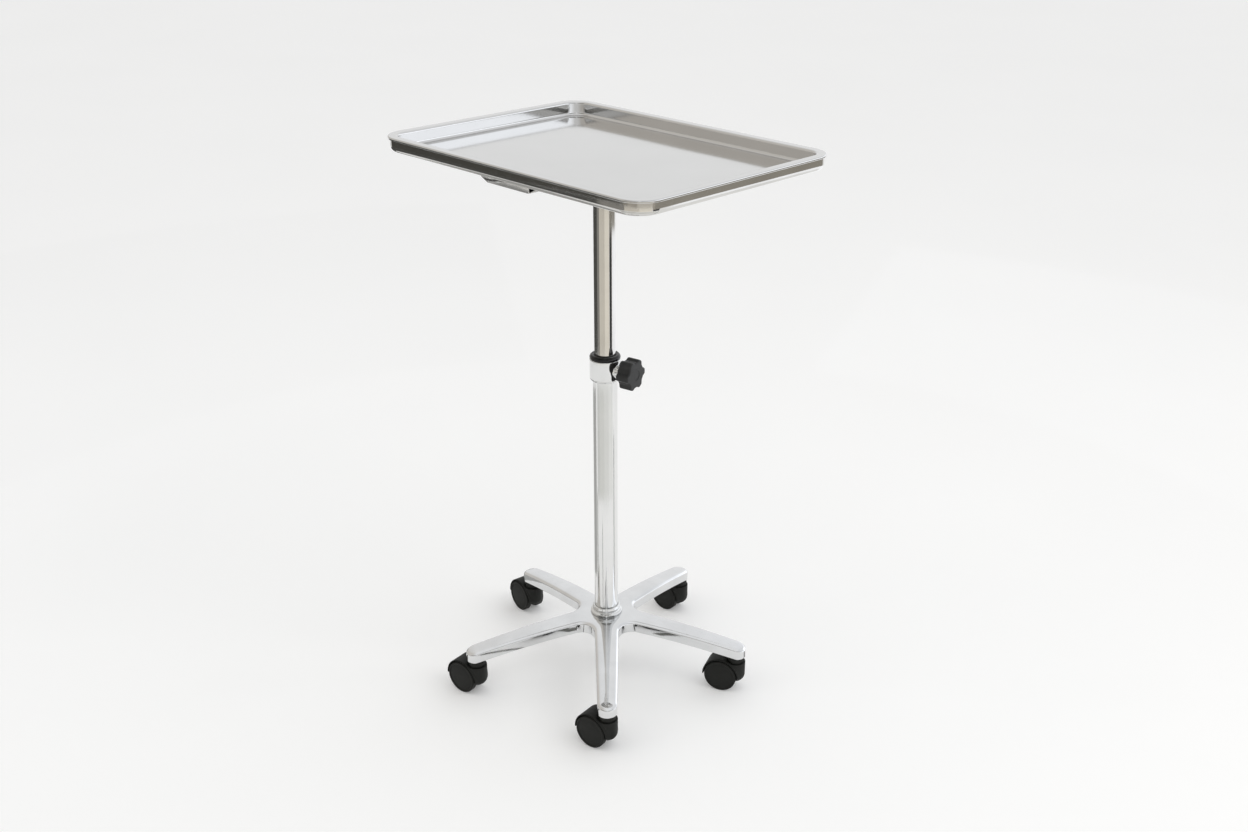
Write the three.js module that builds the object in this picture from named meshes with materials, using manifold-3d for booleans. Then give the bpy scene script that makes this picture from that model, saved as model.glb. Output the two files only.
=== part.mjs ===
// Instrument cart: a lift-out tray in a frame, on a telescopic mast over a five-arm castor base.
// Millimetres, +Z up. The origin is on the floor, on the mast's axis; the front arm points along -Y.

import * as THREE from 'three';
import { mergeVertices } from 'three/addons/utils/BufferGeometryUtils.js';
import Module from 'manifold-3d';

const wasm = await Module();
wasm.setup();

// ---- Driving dimensions ----

const GAP = 0.3;                  // left between two pieces that touch
const ARMS = 5;
const ROUND = 28;                 // facets round a large circle
const ROUND_WHEEL = 20;           // facets round a wheel, hood or castor boss
const ROUND_SMALL = 12;           // facets round a pin, screw or bore
const FAR = 1000;                 // longer than any piece that a cutter goes through

// Twin-wheel castors
const WHEEL_R = 25;
const WHEEL_FACE = 16.6;          // outer face, from the castor's middle plane
const WHEEL_INNER = 7.4;          // inner face, from the same plane
const WEB_HALF = 7;               // half the thickness of the web between the wheels
const AXLE_HALF = 12.6;
const TRAIL = 19.5;               // axle behind the swivel axis
const HOOD_R = 28.4;
const HOOD_WALL = 1.9;
const HOOD_HALF = 15.6;
const BOSS_R = 15;
const BOSS_TOP = 49;
const BOSS_BOTTOM = 15;
const AXLE_R = 3;
const STEM_R = 5.5;
const STEM_BOTTOM = 30.5;
const STEM_TOP = 71.5;
const NECK_R = 13;
const SWIVEL_RADIUS = 205;        // from the mast's axis to each swivel axis
const TRAIL_ANGLES = [141.5, 157.5, 137.5, 126.5, 141.5];   // as parked, from +X, for each arm in turn

// Star base: the top and the underside are surfaces of revolution, cut to the star's outline
const ARM_TIP_R = 14.3;
const ARM_TIP_AT = 205.7;
const ARM_FILLET_R = 22;
const ARM_FILLET_AT = 68;
const ARM_DEPTH = 18.5;
const ARM_WALL = 3.2;
const ARM_TIP_BOTTOM = 58;
const HOLLOW_END = 178;           // the underside's hollow stops here, short of each tip
const HOLLOW_HALF = 11.8;
const HOLLOW_ROOF = 5;            // metal left above the hollow
const HUB_TOP = 101.5;
const HUB_FLAT_R = 40;
const HUB_BOSS_R = 26;
const BOLT_R = 5;

// Mast
const OUTER_TUBE_R = 17.5;
const OUTER_TUBE_BORE = 16.3;
const OUTER_TUBE_FOOT = 90.3;
const OUTER_TUBE_TOP = 514;
const INNER_TUBE_R = 15;
const INNER_TUBE_BORE = 13.8;
const INNER_TUBE_FOOT = 150;
const INNER_TUBE_TOP = 784;

// Height clamp
const COLLAR_R = 22;
const COLLAR_BOTTOM = 483.5;
const COLLAR_TOP = 516;
const CLAMP_HEIGHT = 501;
const CLAMP_ANGLE = -35;          // direction that the knob points in, from +X
const KNOB_R = 22.5;
const KNOB_LOBE = 2.6;            // half the depth between two lobes
const KNOB_PHASE = 39;            // how far round its axis the knob is left, in degrees
const KNOB_BACK = 33;             // from the mast's axis
const KNOB_FACE = 53;
const STUD_R = 4;

// Tray, its frame and bracket
const TRAY_ANGLE = -45.6;         // the tray's long direction, from +X
const TRAY_HALF_X = 244;
const TRAY_HALF_Y = 184;
const TRAY_CORNER_R = 36;
const RIM_TOP = 817;
const TRAY_FLOOR = 798;
const TRAY_SHEET = 1.2;
const TRAY_WALL_INSET = 14;       // inner wall, from the rim's outer edge
const FRAME_INSET = 2.6;
const FRAME_WIDTH = 9.6;
const FRAME_BOTTOM = 796.6;
const FRAME_ROUND = 6;
const FRAME_SHEET = 2;
const BRACKET_HALF_X = 56;
const BRACKET_FLOOR_HALF_X = 39;
const BRACKET_HALF_Y = 173.5;
const BRACKET_BOTTOM = 787;
const BRACKET_SHEET = 1.5;
const HEAD_R = 32;
const HEAD_BOTTOM = 758;
const SCREW_CIRCLE_R = 23;
const SCREWS = 4;
const SCREW_R = 2.5;

// ---- Finishes ----

const finish = (color, roughness, metalness) => ({ color, roughness, metalness });
const POLISHED_STEEL = finish(0xc9cac6, 0.12, 1);
const SATIN_STEEL = finish(0xb9b8b3, 0.3, 1);
const CHROME = finish(0xd8d9d6, 0.06, 1);
const POLISHED_ALUMINIUM = finish(0xd4d5d6, 0.16, 1);
const ZINC_STEEL = finish(0x9a9c9e, 0.4, 1);
const BLACK_NYLON = finish(0x252623, 0.5, 0);
const BLACK_GLOSS = finish(0x161716, 0.22, 0);
const GREY_KNOB = finish(0x333333, 0.42, 0);
const GREY_TREAD = finish(0x2b2c29, 0.6, 0);
const WHITE_NYLON = finish(0xdedbd0, 0.5, 0);

// ---- Solids ----

// Closed three.js geometry -> manifold solid, without the slivers that a lathe leaves on its axis.
function solid(geometry) {
  const bare = geometry.clone();
  bare.deleteAttribute('normal');
  bare.deleteAttribute('uv');
  const merged = mergeVertices(bare, 1e-4);
  const index = merged.index.array;
  const triangles = [];
  for (let i = 0; i < index.length; i += 3) {
    const [a, b, c] = [index[i], index[i + 1], index[i + 2]];
    if (a !== b && b !== c && c !== a) triangles.push(a, b, c);
  }
  return new wasm.Manifold(new wasm.Mesh({
    numProp: 3,
    vertProperties: new Float32Array(merged.attributes.position.array),
    triVerts: new Uint32Array(triangles),
  }));
}

// A profile of [radius, height] points, anticlockwise seen with the axis on the left, turned about Z.
function turned(profile, facets = ROUND) {
  const points = profile.map(([r, z]) => new THREE.Vector2(r, z));
  return solid(new THREE.LatheGeometry(points, facets).rotateX(Math.PI / 2));
}

function rod(radius, low, high, facets = ROUND_SMALL) {
  return turned([[0, low], [radius, low], [radius, high], [0, high]], facets);
}

function tube(outer, inner, low, high, facets = ROUND) {
  return turned([[inner, low], [outer, low], [outer, high], [inner, high], [inner, low]], facets);
}

function extruded(shape, low, high, curveSegments = 8) {
  const options = { depth: high - low, bevelEnabled: false, curveSegments };
  return solid(new THREE.ExtrudeGeometry(shape, options).translate(0, 0, low));
}

function box(low, high) {
  const size = high.map((value, i) => value - low[i]);
  const centre = high.map((value, i) => (value + low[i]) / 2);
  return solid(new THREE.BoxGeometry(...size).translate(...centre));
}

// A solid made along Z, laid along Y through (x, 0, z).
const alongY = (shape, x, z) => shape.rotate([-90, 0, 0]).translate([x, 0, z]);

// A solid made along Z, laid along +X at a height.
const alongX = (shape, z) => shape.rotate([0, 90, 0]).translate([0, 0, z]);

function piece(name, shape, look, parent) {
  const mesh = shape.getMesh();
  const geometry = new THREE.BufferGeometry();
  geometry.setAttribute('position', new THREE.BufferAttribute(mesh.vertProperties, 3));
  geometry.setIndex(new THREE.BufferAttribute(mesh.triVerts, 1));
  geometry.computeVertexNormals();
  const node = new THREE.Mesh(geometry, new THREE.MeshStandardMaterial(look));
  node.name = name;
  parent.add(node);
  return node;
}

// ---- Star base ----

const armTop = (r) => {
  const beyond = Math.max(r - HUB_FLAT_R, 0);
  return HUB_TOP - 0.085 * beyond - 0.00036 * beyond * beyond;
};

// Unit normal of the side line between an arm's tip circle and the fillet circle next to it.
function sideNormal(from, to, radii, side) {
  const across = to.clone().sub(from);
  const turn = side * Math.acos(radii / across.length());
  return across.angle() + turn;
}

// Plan of the star: rounded arm tips joined by straight sides and round fillets.
function starOutline(tipAt, tipR, filletR) {
  const shape = new THREE.Shape();
  const step = (2 * Math.PI) / ARMS;
  const at = (radius, angle) => new THREE.Vector2(radius * Math.cos(angle), radius * Math.sin(angle));
  for (let arm = 0; arm < ARMS; arm += 1) {
    const angle = -Math.PI / 2 + arm * step;
    const tip = at(tipAt, angle);
    const before = at(ARM_FILLET_AT, angle - step / 2);
    const after = at(ARM_FILLET_AT, angle + step / 2);
    const right = sideNormal(tip, before, tipR + filletR, 1);
    const left = sideNormal(tip, after, tipR + filletR, -1);
    const nextTip = at(tipAt, angle + step);
    const nextRight = sideNormal(nextTip, after, tipR + filletR, 1);
    shape.absarc(tip.x, tip.y, tipR, right, left, false);
    shape.absarc(after.x, after.y, filletR, left + Math.PI, nextRight + Math.PI, true);
  }
  return shape;
}

// Solid of revolution between two heights that depend on the radius.
function revolvedBand(lowAt, highAt, radii) {
  const low = radii.map((r) => [r, lowAt(r)]);
  const high = radii.map((r) => [r, highAt(r)]).reverse();
  return turned([...low, ...high], 4 * ARMS);
}

function starBase() {
  const radii = [0, HUB_FLAT_R, 80, 120, 160, 204, 224];
  const underside = (r) => Math.max(armTop(r) - ARM_DEPTH, ARM_TIP_BOTTOM);
  const star = extruded(starOutline(ARM_TIP_AT, ARM_TIP_R, ARM_FILLET_R), 0, FAR)
    .intersect(revolvedBand(underside, armTop, radii));
  const hollowOutline = starOutline(HOLLOW_END, HOLLOW_HALF, ARM_FILLET_R + ARM_WALL);
  const hollow = extruded(hollowOutline, 0, FAR)
    .intersect(revolvedBand(() => 0, (r) => armTop(r) - HOLLOW_ROOF, radii))
    .subtract(rod(HUB_BOSS_R, -FAR, FAR, ROUND));
  const tubeSeat = rod(OUTER_TUBE_R + GAP, OUTER_TUBE_FOOT - GAP, FAR, ROUND);
  const boltHole = rod(BOLT_R + 2 * GAP, -FAR, FAR);
  let base = star.subtract(hollow).subtract(tubeSeat).subtract(boltHole);
  for (let arm = 0; arm < ARMS; arm += 1) {
    const socket = rod(STEM_R + GAP, 0, STEM_TOP + GAP).translate([0, -SWIVEL_RADIUS, 0]);
    base = base.subtract(socket.rotate([0, 0, (arm * 360) / ARMS]));
  }
  return base;
}

function addBase(parent) {
  piece('star_base', starBase(), POLISHED_ALUMINIUM, parent);
  const low = HUB_TOP + GAP;
  const bore = OUTER_TUBE_R + GAP;
  const ringProfile = [
    [bore, low], [23.8, low], [23.8, low + 3.4], [22.6, low + 4.6], [19.9, low + 5.4],
    [20.7, low + 7.2], [20.7, low + 10.6], [19.2, low + 13], [bore, low + 13], [bore, low],
  ];
  piece('hub_ring', turned(ringProfile), CHROME, parent);
  const plug = rod(OUTER_TUBE_BORE - GAP, OUTER_TUBE_FOOT, 118, ROUND)
    .subtract(rod(BOLT_R + GAP, 0, 112));
  piece('foot_plug', plug, ZINC_STEEL, parent);
  const hubBottom = HUB_TOP - ARM_DEPTH;
  const washer = tube(12, BOLT_R + GAP, hubBottom - 2.3, hubBottom - GAP);
  piece('base_washer', washer, ZINC_STEEL, parent);
  const head = rod(9.2, hubBottom - 9, hubBottom - 2.6, 6);
  piece('base_bolt', head.add(rod(BOLT_R, hubBottom - 4, 110)), ZINC_STEEL, parent);
}

// ---- Castors: the swivel axis is the group's Z, and the wheels trail along its +X ----

function castorHood() {
  const shell = alongY(rod(HOOD_R, -HOOD_HALF, HOOD_HALF, ROUND), TRAIL, WHEEL_R);
  const roundFront = rod(HOOD_HALF, 0, FAR, ROUND).add(box([0, -FAR, 0], [FAR, FAR, FAR]));
  const upper = shell.intersect(box([-FAR, -FAR, WHEEL_R - 1.5], [FAR, FAR, FAR]))
    .intersect(roundFront);
  const bossProfile = [
    [0, BOSS_BOTTOM], [7, BOSS_BOTTOM], [11.5, BOSS_BOTTOM + 1.6], [14.2, BOSS_BOTTOM + 5],
    [BOSS_R, BOSS_BOTTOM + 9.5], [BOSS_R, BOSS_TOP], [0, BOSS_TOP],
  ];
  const web = alongY(rod(17, -WEB_HALF, WEB_HALF, ROUND_WHEEL), TRAIL, WHEEL_R);
  const wheelWell = rod(HOOD_R - HOOD_WALL, WEB_HALF, FAR, ROUND);
  const neckRoom = rod(NECK_R + 2 * GAP, BOSS_TOP, FAR, ROUND_WHEEL);
  return upper.add(turned(bossProfile, ROUND_WHEEL)).add(web)
    .subtract(alongY(wheelWell, TRAIL, WHEEL_R))
    .subtract(alongY(wheelWell.rotate([180, 0, 0]), TRAIL, WHEEL_R))
    .subtract(neckRoom)
    .subtract(rod(STEM_R + GAP, STEM_BOTTOM - GAP, FAR))
    .subtract(alongY(rod(AXLE_R + GAP, -FAR, FAR), TRAIL, WHEEL_R));
}

// One wheel about Z, its outer face up: a crowned tread, a raised rim round the face and a blind bore.
function castorWheel() {
  const bore = AXLE_R + GAP;
  const boreEnd = AXLE_HALF + GAP;
  return turned([
    [bore, WHEEL_INNER], [WHEEL_R, WHEEL_INNER], [WHEEL_R, WHEEL_FACE - 2],
    [23.4, WHEEL_FACE], [21.8, WHEEL_FACE - 0.8], [0, WHEEL_FACE - 0.2], [0, boreEnd], [bore, boreEnd],
    [bore, WHEEL_INNER],
  ], ROUND_WHEEL);
}

function addCastor(number, parent) {
  const armAngle = -90 + ((number - 1) * 360) / ARMS;
  const swivel = new THREE.Group();
  const angle = THREE.MathUtils.degToRad(armAngle);
  swivel.position.set(SWIVEL_RADIUS * Math.cos(angle), SWIVEL_RADIUS * Math.sin(angle), 0);
  swivel.rotation.z = THREE.MathUtils.degToRad(TRAIL_ANGLES[number - 1]);
  parent.add(swivel);
  piece(`castor_${number}_hood`, castorHood(), BLACK_NYLON, swivel);
  const wheel = castorWheel();
  piece(`castor_${number}_wheel_left`, alongY(wheel, TRAIL, WHEEL_R), GREY_TREAD, swivel);
  const mirrored = alongY(wheel.rotate([180, 0, 0]), TRAIL, WHEEL_R);
  piece(`castor_${number}_wheel_right`, mirrored, GREY_TREAD, swivel);
  const axle = alongY(rod(AXLE_R, -AXLE_HALF, AXLE_HALF), TRAIL, WHEEL_R);
  piece(`castor_${number}_axle`, axle, ZINC_STEEL, swivel);
  const neckBottom = BOSS_TOP + GAP;
  const neckTop = ARM_TIP_BOTTOM - GAP;
  const neck = tube(NECK_R, STEM_R + GAP, neckBottom, neckTop, ROUND_WHEEL);
  piece(`castor_${number}_neck`, neck, BLACK_NYLON, swivel);
  const stem = turned([
    [0, STEM_BOTTOM], [STEM_R, STEM_BOTTOM], [STEM_R, STEM_TOP - 6.5], [STEM_R - 1, STEM_TOP - 5.5],
    [STEM_R, STEM_TOP - 2.5], [STEM_R - 1, STEM_TOP], [0, STEM_TOP],
  ], ROUND_SMALL);
  piece(`castor_${number}_stem`, stem, ZINC_STEEL, swivel);
}

// ---- Mast ----

// Room for the clamp's stud and pad, through the collar and the outer tube.
const studHole = () => alongX(rod(STUD_R + GAP, 12, 40), CLAMP_HEIGHT).rotate([0, 0, CLAMP_ANGLE]);

function addOuterMast(parent) {
  const wall = tube(OUTER_TUBE_R, OUTER_TUBE_BORE, OUTER_TUBE_FOOT, OUTER_TUBE_TOP, ROUND);
  piece('outer_tube', wall.subtract(studHole()), CHROME, parent);
  const bore = OUTER_TUBE_R + GAP;
  const sleeve = turned([
    [bore, COLLAR_BOTTOM], [18.6, COLLAR_BOTTOM], [20.4, COLLAR_BOTTOM + 1],
    [21.6, COLLAR_BOTTOM + 3], [COLLAR_R, COLLAR_BOTTOM + 5.4], [COLLAR_R, COLLAR_TOP - 0.6],
    [COLLAR_R - 0.6, COLLAR_TOP], [bore, COLLAR_TOP], [bore, COLLAR_BOTTOM],
  ], ROUND);
  const boss = alongX(rod(9, OUTER_TUBE_R + 1.5, 27.2, ROUND_WHEEL), CLAMP_HEIGHT)
    .rotate([0, 0, CLAMP_ANGLE]);
  const collar = sleeve.add(boss).subtract(studHole());
  piece('clamp_collar', collar, CHROME, parent);
  const low = COLLAR_TOP + GAP;
  const bushBore = INNER_TUBE_R + 0.25;
  const sleeveR = OUTER_TUBE_BORE - 0.25;
  const sleeveFoot = COLLAR_TOP - 9;
  const bush = turned([
    [bushBore, sleeveFoot], [sleeveR, sleeveFoot], [sleeveR, low], [21.9, low],
    [COLLAR_R, low + 1], [21.2, low + 3.2], [19.4, low + 4.9], [17.2, low + 5.6],
    [bushBore, low + 4.8], [bushBore, sleeveFoot],
  ], ROUND);
  piece('guide_bush', bush, BLACK_GLOSS, parent);
}

function addInnerMast(parent) {
  const wall = tube(INNER_TUBE_R, INNER_TUBE_BORE, INNER_TUBE_FOOT, INNER_TUBE_TOP, ROUND);
  piece('inner_tube', wall, POLISHED_STEEL, parent);
  const foot = INNER_TUBE_FOOT - GAP;
  const guideR = OUTER_TUBE_BORE - 0.4;
  const plug = turned([
    [0, foot - 11], [14.6, foot - 11], [guideR, foot - 9.8], [guideR, foot],
    [INNER_TUBE_BORE - GAP, foot], [INNER_TUBE_BORE - GAP, foot + 15],
    [12.4, foot + 16.4], [0, foot + 16.4],
  ]);
  piece('guide_plug', plug, WHITE_NYLON, parent);
}

// Six rounded lobes round a flat-faced head, on a short round hub.
function starKnob() {
  const lobes = 6;
  const steps = 48;
  const points = [];
  for (let i = 0; i < steps; i += 1) {
    const turn = (i / steps) * 2 * Math.PI;
    const angle = turn + THREE.MathUtils.degToRad(KNOB_PHASE);
    const wave = Math.cos(lobes * turn);
    const radius = KNOB_R + KNOB_LOBE * (Math.sign(wave) * Math.sqrt(Math.abs(wave)) - 1);
    points.push(new THREE.Vector2(radius * Math.cos(angle), radius * Math.sin(angle)));
  }
  const envelope = turned([
    [0, KNOB_BACK], [20, KNOB_BACK], [KNOB_R, KNOB_BACK + 2], [KNOB_R, KNOB_FACE - 2],
    [21, KNOB_FACE], [0, KNOB_FACE],
  ], steps);
  return extruded(new THREE.Shape(points), KNOB_BACK - 1, KNOB_FACE + 1)
    .intersect(envelope)
    .add(rod(9.5, 27.6, KNOB_BACK + 1, ROUND_WHEEL))
    .subtract(rod(STUD_R + GAP, 20, 44.5));
}

function addClamp(parent) {
  const side = new THREE.Group();
  side.position.z = CLAMP_HEIGHT;
  side.rotation.z = THREE.MathUtils.degToRad(CLAMP_ANGLE);
  parent.add(side);
  piece('clamp_pad', alongX(rod(STUD_R, 15.3, 18), 0), WHITE_NYLON, side);
  piece('clamp_stud', alongX(rod(STUD_R, 18.3, 44.2), 0), ZINC_STEEL, side);
  piece('clamp_knob', alongX(starKnob(), 0), GREY_KNOB, side);
}

// ---- Tray, frame and bracket: long direction along X until the group is turned ----

// Points round a rectangle with rounded corners, moved in from the rim's outer edge.
function roundedRectangle(inset, z) {
  const cornerSteps = 5;
  const radius = TRAY_CORNER_R - inset;
  const points = [];
  for (let corner = 0; corner < 4; corner += 1) {
    const signX = corner === 0 || corner === 3 ? 1 : -1;
    const signY = corner < 2 ? 1 : -1;
    for (let i = 0; i <= cornerSteps; i += 1) {
      const angle = ((corner + i / cornerSteps) * Math.PI) / 2;
      points.push(new THREE.Vector3(
        signX * (TRAY_HALF_X - TRAY_CORNER_R) + radius * Math.cos(angle),
        signY * (TRAY_HALF_Y - TRAY_CORNER_R) + radius * Math.sin(angle),
        z,
      ));
    }
  }
  return points;
}

// A section of [inset, z] points carried round the tray. An open section is closed by flat ends.
function carriedRound(section, closed) {
  const rings = section.map(([inset, z]) => roundedRectangle(inset, z));
  const count = rings[0].length;
  const positions = rings.flat();
  const index = [];
  const spans = closed ? rings.length : rings.length - 1;
  for (let ring = 0; ring < spans; ring += 1) {
    const next = (ring + 1) % rings.length;
    for (let i = 0; i < count; i += 1) {
      const j = (i + 1) % count;
      const [a, b] = [ring * count + i, ring * count + j];
      const [c, d] = [next * count + i, next * count + j];
      index.push(a, b, d, a, d, c);
    }
  }
  if (!closed) {
    const last = (rings.length - 1) * count;
    const [first, final] = [positions.length, positions.length + 1];
    positions.push(new THREE.Vector3(0, 0, section[0][1]));
    positions.push(new THREE.Vector3(0, 0, section[section.length - 1][1]));
    for (let i = 0; i < count; i += 1) {
      const j = (i + 1) % count;
      index.push(first, j, i, final, last + i, last + j);
    }
  }
  const geometry = new THREE.BufferGeometry().setFromPoints(positions);
  geometry.setIndex(index);
  return solid(geometry);
}

function tray() {
  const under = TRAY_FLOOR - TRAY_SHEET;
  const wall = TRAY_WALL_INSET;
  const outerWall = wall - TRAY_SHEET;
  return carriedRound([
    [wall + 5, under], [outerWall + 1.5, under + 1.2], [outerWall, under + 4.6],
    [outerWall, RIM_TOP - 3.4], [outerWall - 1, RIM_TOP - TRAY_SHEET], [2.2, RIM_TOP - TRAY_SHEET],
    [2.2, RIM_TOP - 3.6], [0.8, RIM_TOP - 3.8], [0, RIM_TOP - 2.8], [0.3, RIM_TOP - 0.9],
    [1.6, RIM_TOP], [wall - 3.8, RIM_TOP], [wall - 1.2, RIM_TOP - 0.9], [wall, RIM_TOP - 3.6],
    [wall, TRAY_FLOOR + 4.4], [wall + 1.3, TRAY_FLOOR + 1.3], [wall + 4.6, TRAY_FLOOR],
  ], false);
}

// Open channel under the rim: an upright outer side, a rounded lower edge and a narrow floor.
function trayFrame() {
  const outer = FRAME_INSET;
  const inner = FRAME_INSET + FRAME_WIDTH;
  const top = RIM_TOP - TRAY_SHEET - GAP;
  const arc = (radius, from, steps) => Array.from({ length: steps + 1 }, (_, i) => {
    const angle = (i / steps) * (Math.PI / 2);
    return [
      outer + FRAME_ROUND - radius * Math.cos(angle + from),
      FRAME_BOTTOM + FRAME_ROUND - radius * Math.sin(angle + from),
    ];
  });
  const outside = arc(FRAME_ROUND, 0, 3).reverse();
  const inside = arc(FRAME_ROUND - FRAME_SHEET, 0, 3);
  return carriedRound([
    [inner, FRAME_BOTTOM], ...outside, [outer, top], [outer + FRAME_SHEET, top], ...inside,
    [inner, FRAME_BOTTOM + FRAME_SHEET],
  ], true);
}

// Shallow folded trough across the tray's short direction, with upright ends under the frame.
function trayBracket() {
  const top = FRAME_BOTTOM - GAP;
  const slope = (BRACKET_HALF_X - BRACKET_FLOOR_HALF_X) / (top - BRACKET_BOTTOM);
  const section = (halfFloor, low) => {
    const half = halfFloor + slope * (top - low);
    return new THREE.Shape([
      new THREE.Vector2(-halfFloor, low), new THREE.Vector2(halfFloor, low),
      new THREE.Vector2(half, top), new THREE.Vector2(-half, top),
    ]);
  };
  const block = (halfFloor, low, halfLength) => (
    extruded(section(halfFloor, low), -halfLength, halfLength).rotate([90, 0, 0])
  );
  const raised = BRACKET_BOTTOM + BRACKET_SHEET;
  const halfLength = BRACKET_HALF_Y - BRACKET_SHEET;
  const foldInset = BRACKET_SHEET * (Math.hypot(1, slope) - slope);
  const inside = block(BRACKET_FLOOR_HALF_X - foldInset, raised, halfLength)
    .add(box([-FAR, -halfLength, top - 0.01], [FAR, halfLength, FAR]));
  let bracket = block(BRACKET_FLOOR_HALF_X, BRACKET_BOTTOM, BRACKET_HALF_Y).subtract(inside);
  const notchY = BRACKET_HALF_Y - 2 * BRACKET_SHEET;
  for (const side of [-1, 1]) {
    const corners = box(
      [side * BRACKET_HALF_X - 8, -FAR, raised],
      [side * BRACKET_HALF_X + 8, FAR, FAR],
    );
    bracket = bracket.subtract(corners.subtract(box([-FAR, -notchY, 0], [FAR, notchY, FAR])));
  }
  return bracket.subtract(screwHoles());
}

function onScrewCircle(shape, number) {
  const angle = 45 + ((number - 1) * 360) / SCREWS;
  return shape.translate([SCREW_CIRCLE_R, 0, 0]).rotate([0, 0, angle]);
}

function screwHoles() {
  const hole = rod(SCREW_R + GAP, 0, FAR);
  const holes = Array.from({ length: SCREWS }, (_, i) => onScrewCircle(hole, i + 1));
  return holes.reduce((all, one) => all.add(one));
}

function mastHead() {
  const top = BRACKET_BOTTOM - GAP;
  const bore = INNER_TUBE_R + GAP;
  return turned([
    [0, INNER_TUBE_TOP + GAP], [bore, INNER_TUBE_TOP + GAP], [bore, HEAD_BOTTOM],
    [18.6, HEAD_BOTTOM], [19.4, HEAD_BOTTOM + 1], [19.4, 776], [21, 779.4], [24, top - 5],
    [31.4, top - 5], [HEAD_R, top - 4.4], [HEAD_R, top], [0, top],
  ], ROUND).subtract(screwHoles());
}

function addTrayAssembly(parent) {
  const head = new THREE.Group();
  head.rotation.z = THREE.MathUtils.degToRad(TRAY_ANGLE);
  parent.add(head);
  piece('tray', tray(), SATIN_STEEL, head);
  piece('tray_frame', trayFrame(), POLISHED_STEEL, head);
  piece('tray_bracket', trayBracket(), SATIN_STEEL, head);
  piece('mast_head', mastHead(), POLISHED_STEEL, head);
  const seat = BRACKET_BOTTOM + BRACKET_SHEET + GAP;
  const screw = turned([
    [0, seat - 9.8], [SCREW_R, seat - 9.8], [SCREW_R, seat], [4.6, seat], [4.6, seat + 1.4],
    [3, seat + 2.6], [0, seat + 2.8],
  ], ROUND_SMALL);
  for (let number = 1; number <= SCREWS; number += 1) {
    piece(`bracket_screw_${number}`, onScrewCircle(screw, number), ZINC_STEEL, head);
  }
}

// ---- Assembly ----

const cart = new THREE.Group();
addBase(cart);
for (let number = 1; number <= ARMS; number += 1) addCastor(number, cart);
addOuterMast(cart);
addInnerMast(cart);
addClamp(cart);
addTrayAssembly(cart);

export default cart;
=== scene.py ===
"""Instrument cart: smooth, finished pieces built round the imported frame, in the frame's own metres."""
import math

import bpy
import numpy as np
from mathutils import Matrix, Vector
from mathutils.geometry import delaunay_2d_cdt

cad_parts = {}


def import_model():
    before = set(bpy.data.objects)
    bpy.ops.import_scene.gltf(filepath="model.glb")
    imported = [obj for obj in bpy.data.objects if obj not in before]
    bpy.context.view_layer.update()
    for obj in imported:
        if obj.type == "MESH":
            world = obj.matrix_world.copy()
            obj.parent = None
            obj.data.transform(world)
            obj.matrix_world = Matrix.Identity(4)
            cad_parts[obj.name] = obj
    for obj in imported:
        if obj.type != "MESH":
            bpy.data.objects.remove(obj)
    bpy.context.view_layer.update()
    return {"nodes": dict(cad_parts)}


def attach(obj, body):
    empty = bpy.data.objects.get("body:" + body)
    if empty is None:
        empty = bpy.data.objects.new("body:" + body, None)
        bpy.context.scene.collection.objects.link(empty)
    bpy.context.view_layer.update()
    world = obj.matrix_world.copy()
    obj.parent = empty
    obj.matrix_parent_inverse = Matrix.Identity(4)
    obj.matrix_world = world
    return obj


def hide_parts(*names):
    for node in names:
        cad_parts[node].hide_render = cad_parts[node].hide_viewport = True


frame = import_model()

# ---- Dimensions, in millimetres, as in the CAD source ----

MM = 0.001
GAP = 0.3
ARMS = 5
WHEEL_R, WHEEL_FACE, WHEEL_INNER, AXLE_HALF = 25, 16.6, 7.4, 12.6
TRAIL, HOOD_R, HOOD_WALL, HOOD_HALF, WEB_HALF = 19.5, 28.4, 1.9, 15.6, 7
BOSS_R, BOSS_TOP, BOSS_BOTTOM = 15, 49, 15
NECK_R, STEM_R, STEM_TOP, AXLE_R = 13, 5.5, 71.5, 3
SWIVEL_RADIUS = 205
TRAIL_ANGLES = (141.5, 157.5, 137.5, 126.5, 141.5)
ARM_TIP_R, ARM_TIP_AT, ARM_FILLET_R, ARM_FILLET_AT = 14.3, 205.7, 22, 68
ARM_DEPTH, ARM_TIP_BOTTOM, HOLLOW_END, HOLLOW_HALF, HOLLOW_ROOF = 18.5, 58, 178, 11.8, 5
HUB_TOP, HUB_FLAT_R, HUB_BOSS_R = 101.5, 40, 26
OUTER_TUBE_R, OUTER_TUBE_BORE, OUTER_TUBE_FOOT, OUTER_TUBE_TOP = 17.5, 16.3, 90.3, 514
INNER_TUBE_R, INNER_TUBE_BORE, INNER_TUBE_FOOT, INNER_TUBE_TOP = 15, 13.8, 150, 784
COLLAR_R, COLLAR_BOTTOM, COLLAR_TOP = 22, 483.5, 516
CLAMP_HEIGHT, CLAMP_ANGLE = 501, -35
KNOB_R, KNOB_BACK, KNOB_FACE, KNOB_LOBES = 22.5, 33, 53, 6
STUD_R = 4
TRAY_ANGLE = -45.6
TRAY_HALF_X, TRAY_HALF_Y, TRAY_CORNER_R = 244, 184, 36
RIM_TOP, TRAY_FLOOR, TRAY_SHEET, WALL_INSET = 817, 798, 1.2, 14
FRAME_INSET, FRAME_WIDTH, FRAME_BOTTOM, FRAME_SHEET = 2.6, 9.6, 796.6, 2
BRACKET_TOP_HALF, BRACKET_FLOOR_HALF, BRACKET_LENGTH_HALF = 56, 39, 173.5
BRACKET_BOTTOM, BRACKET_SHEET = 787, 1.5
HEAD_R, HEAD_BOTTOM, SCREWS, SCREW_CIRCLE_R, SCREW_R = 32, 758, 4, 23, 2.5

# ---- Detail that the CAD source leaves out or makes differently ----

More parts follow.
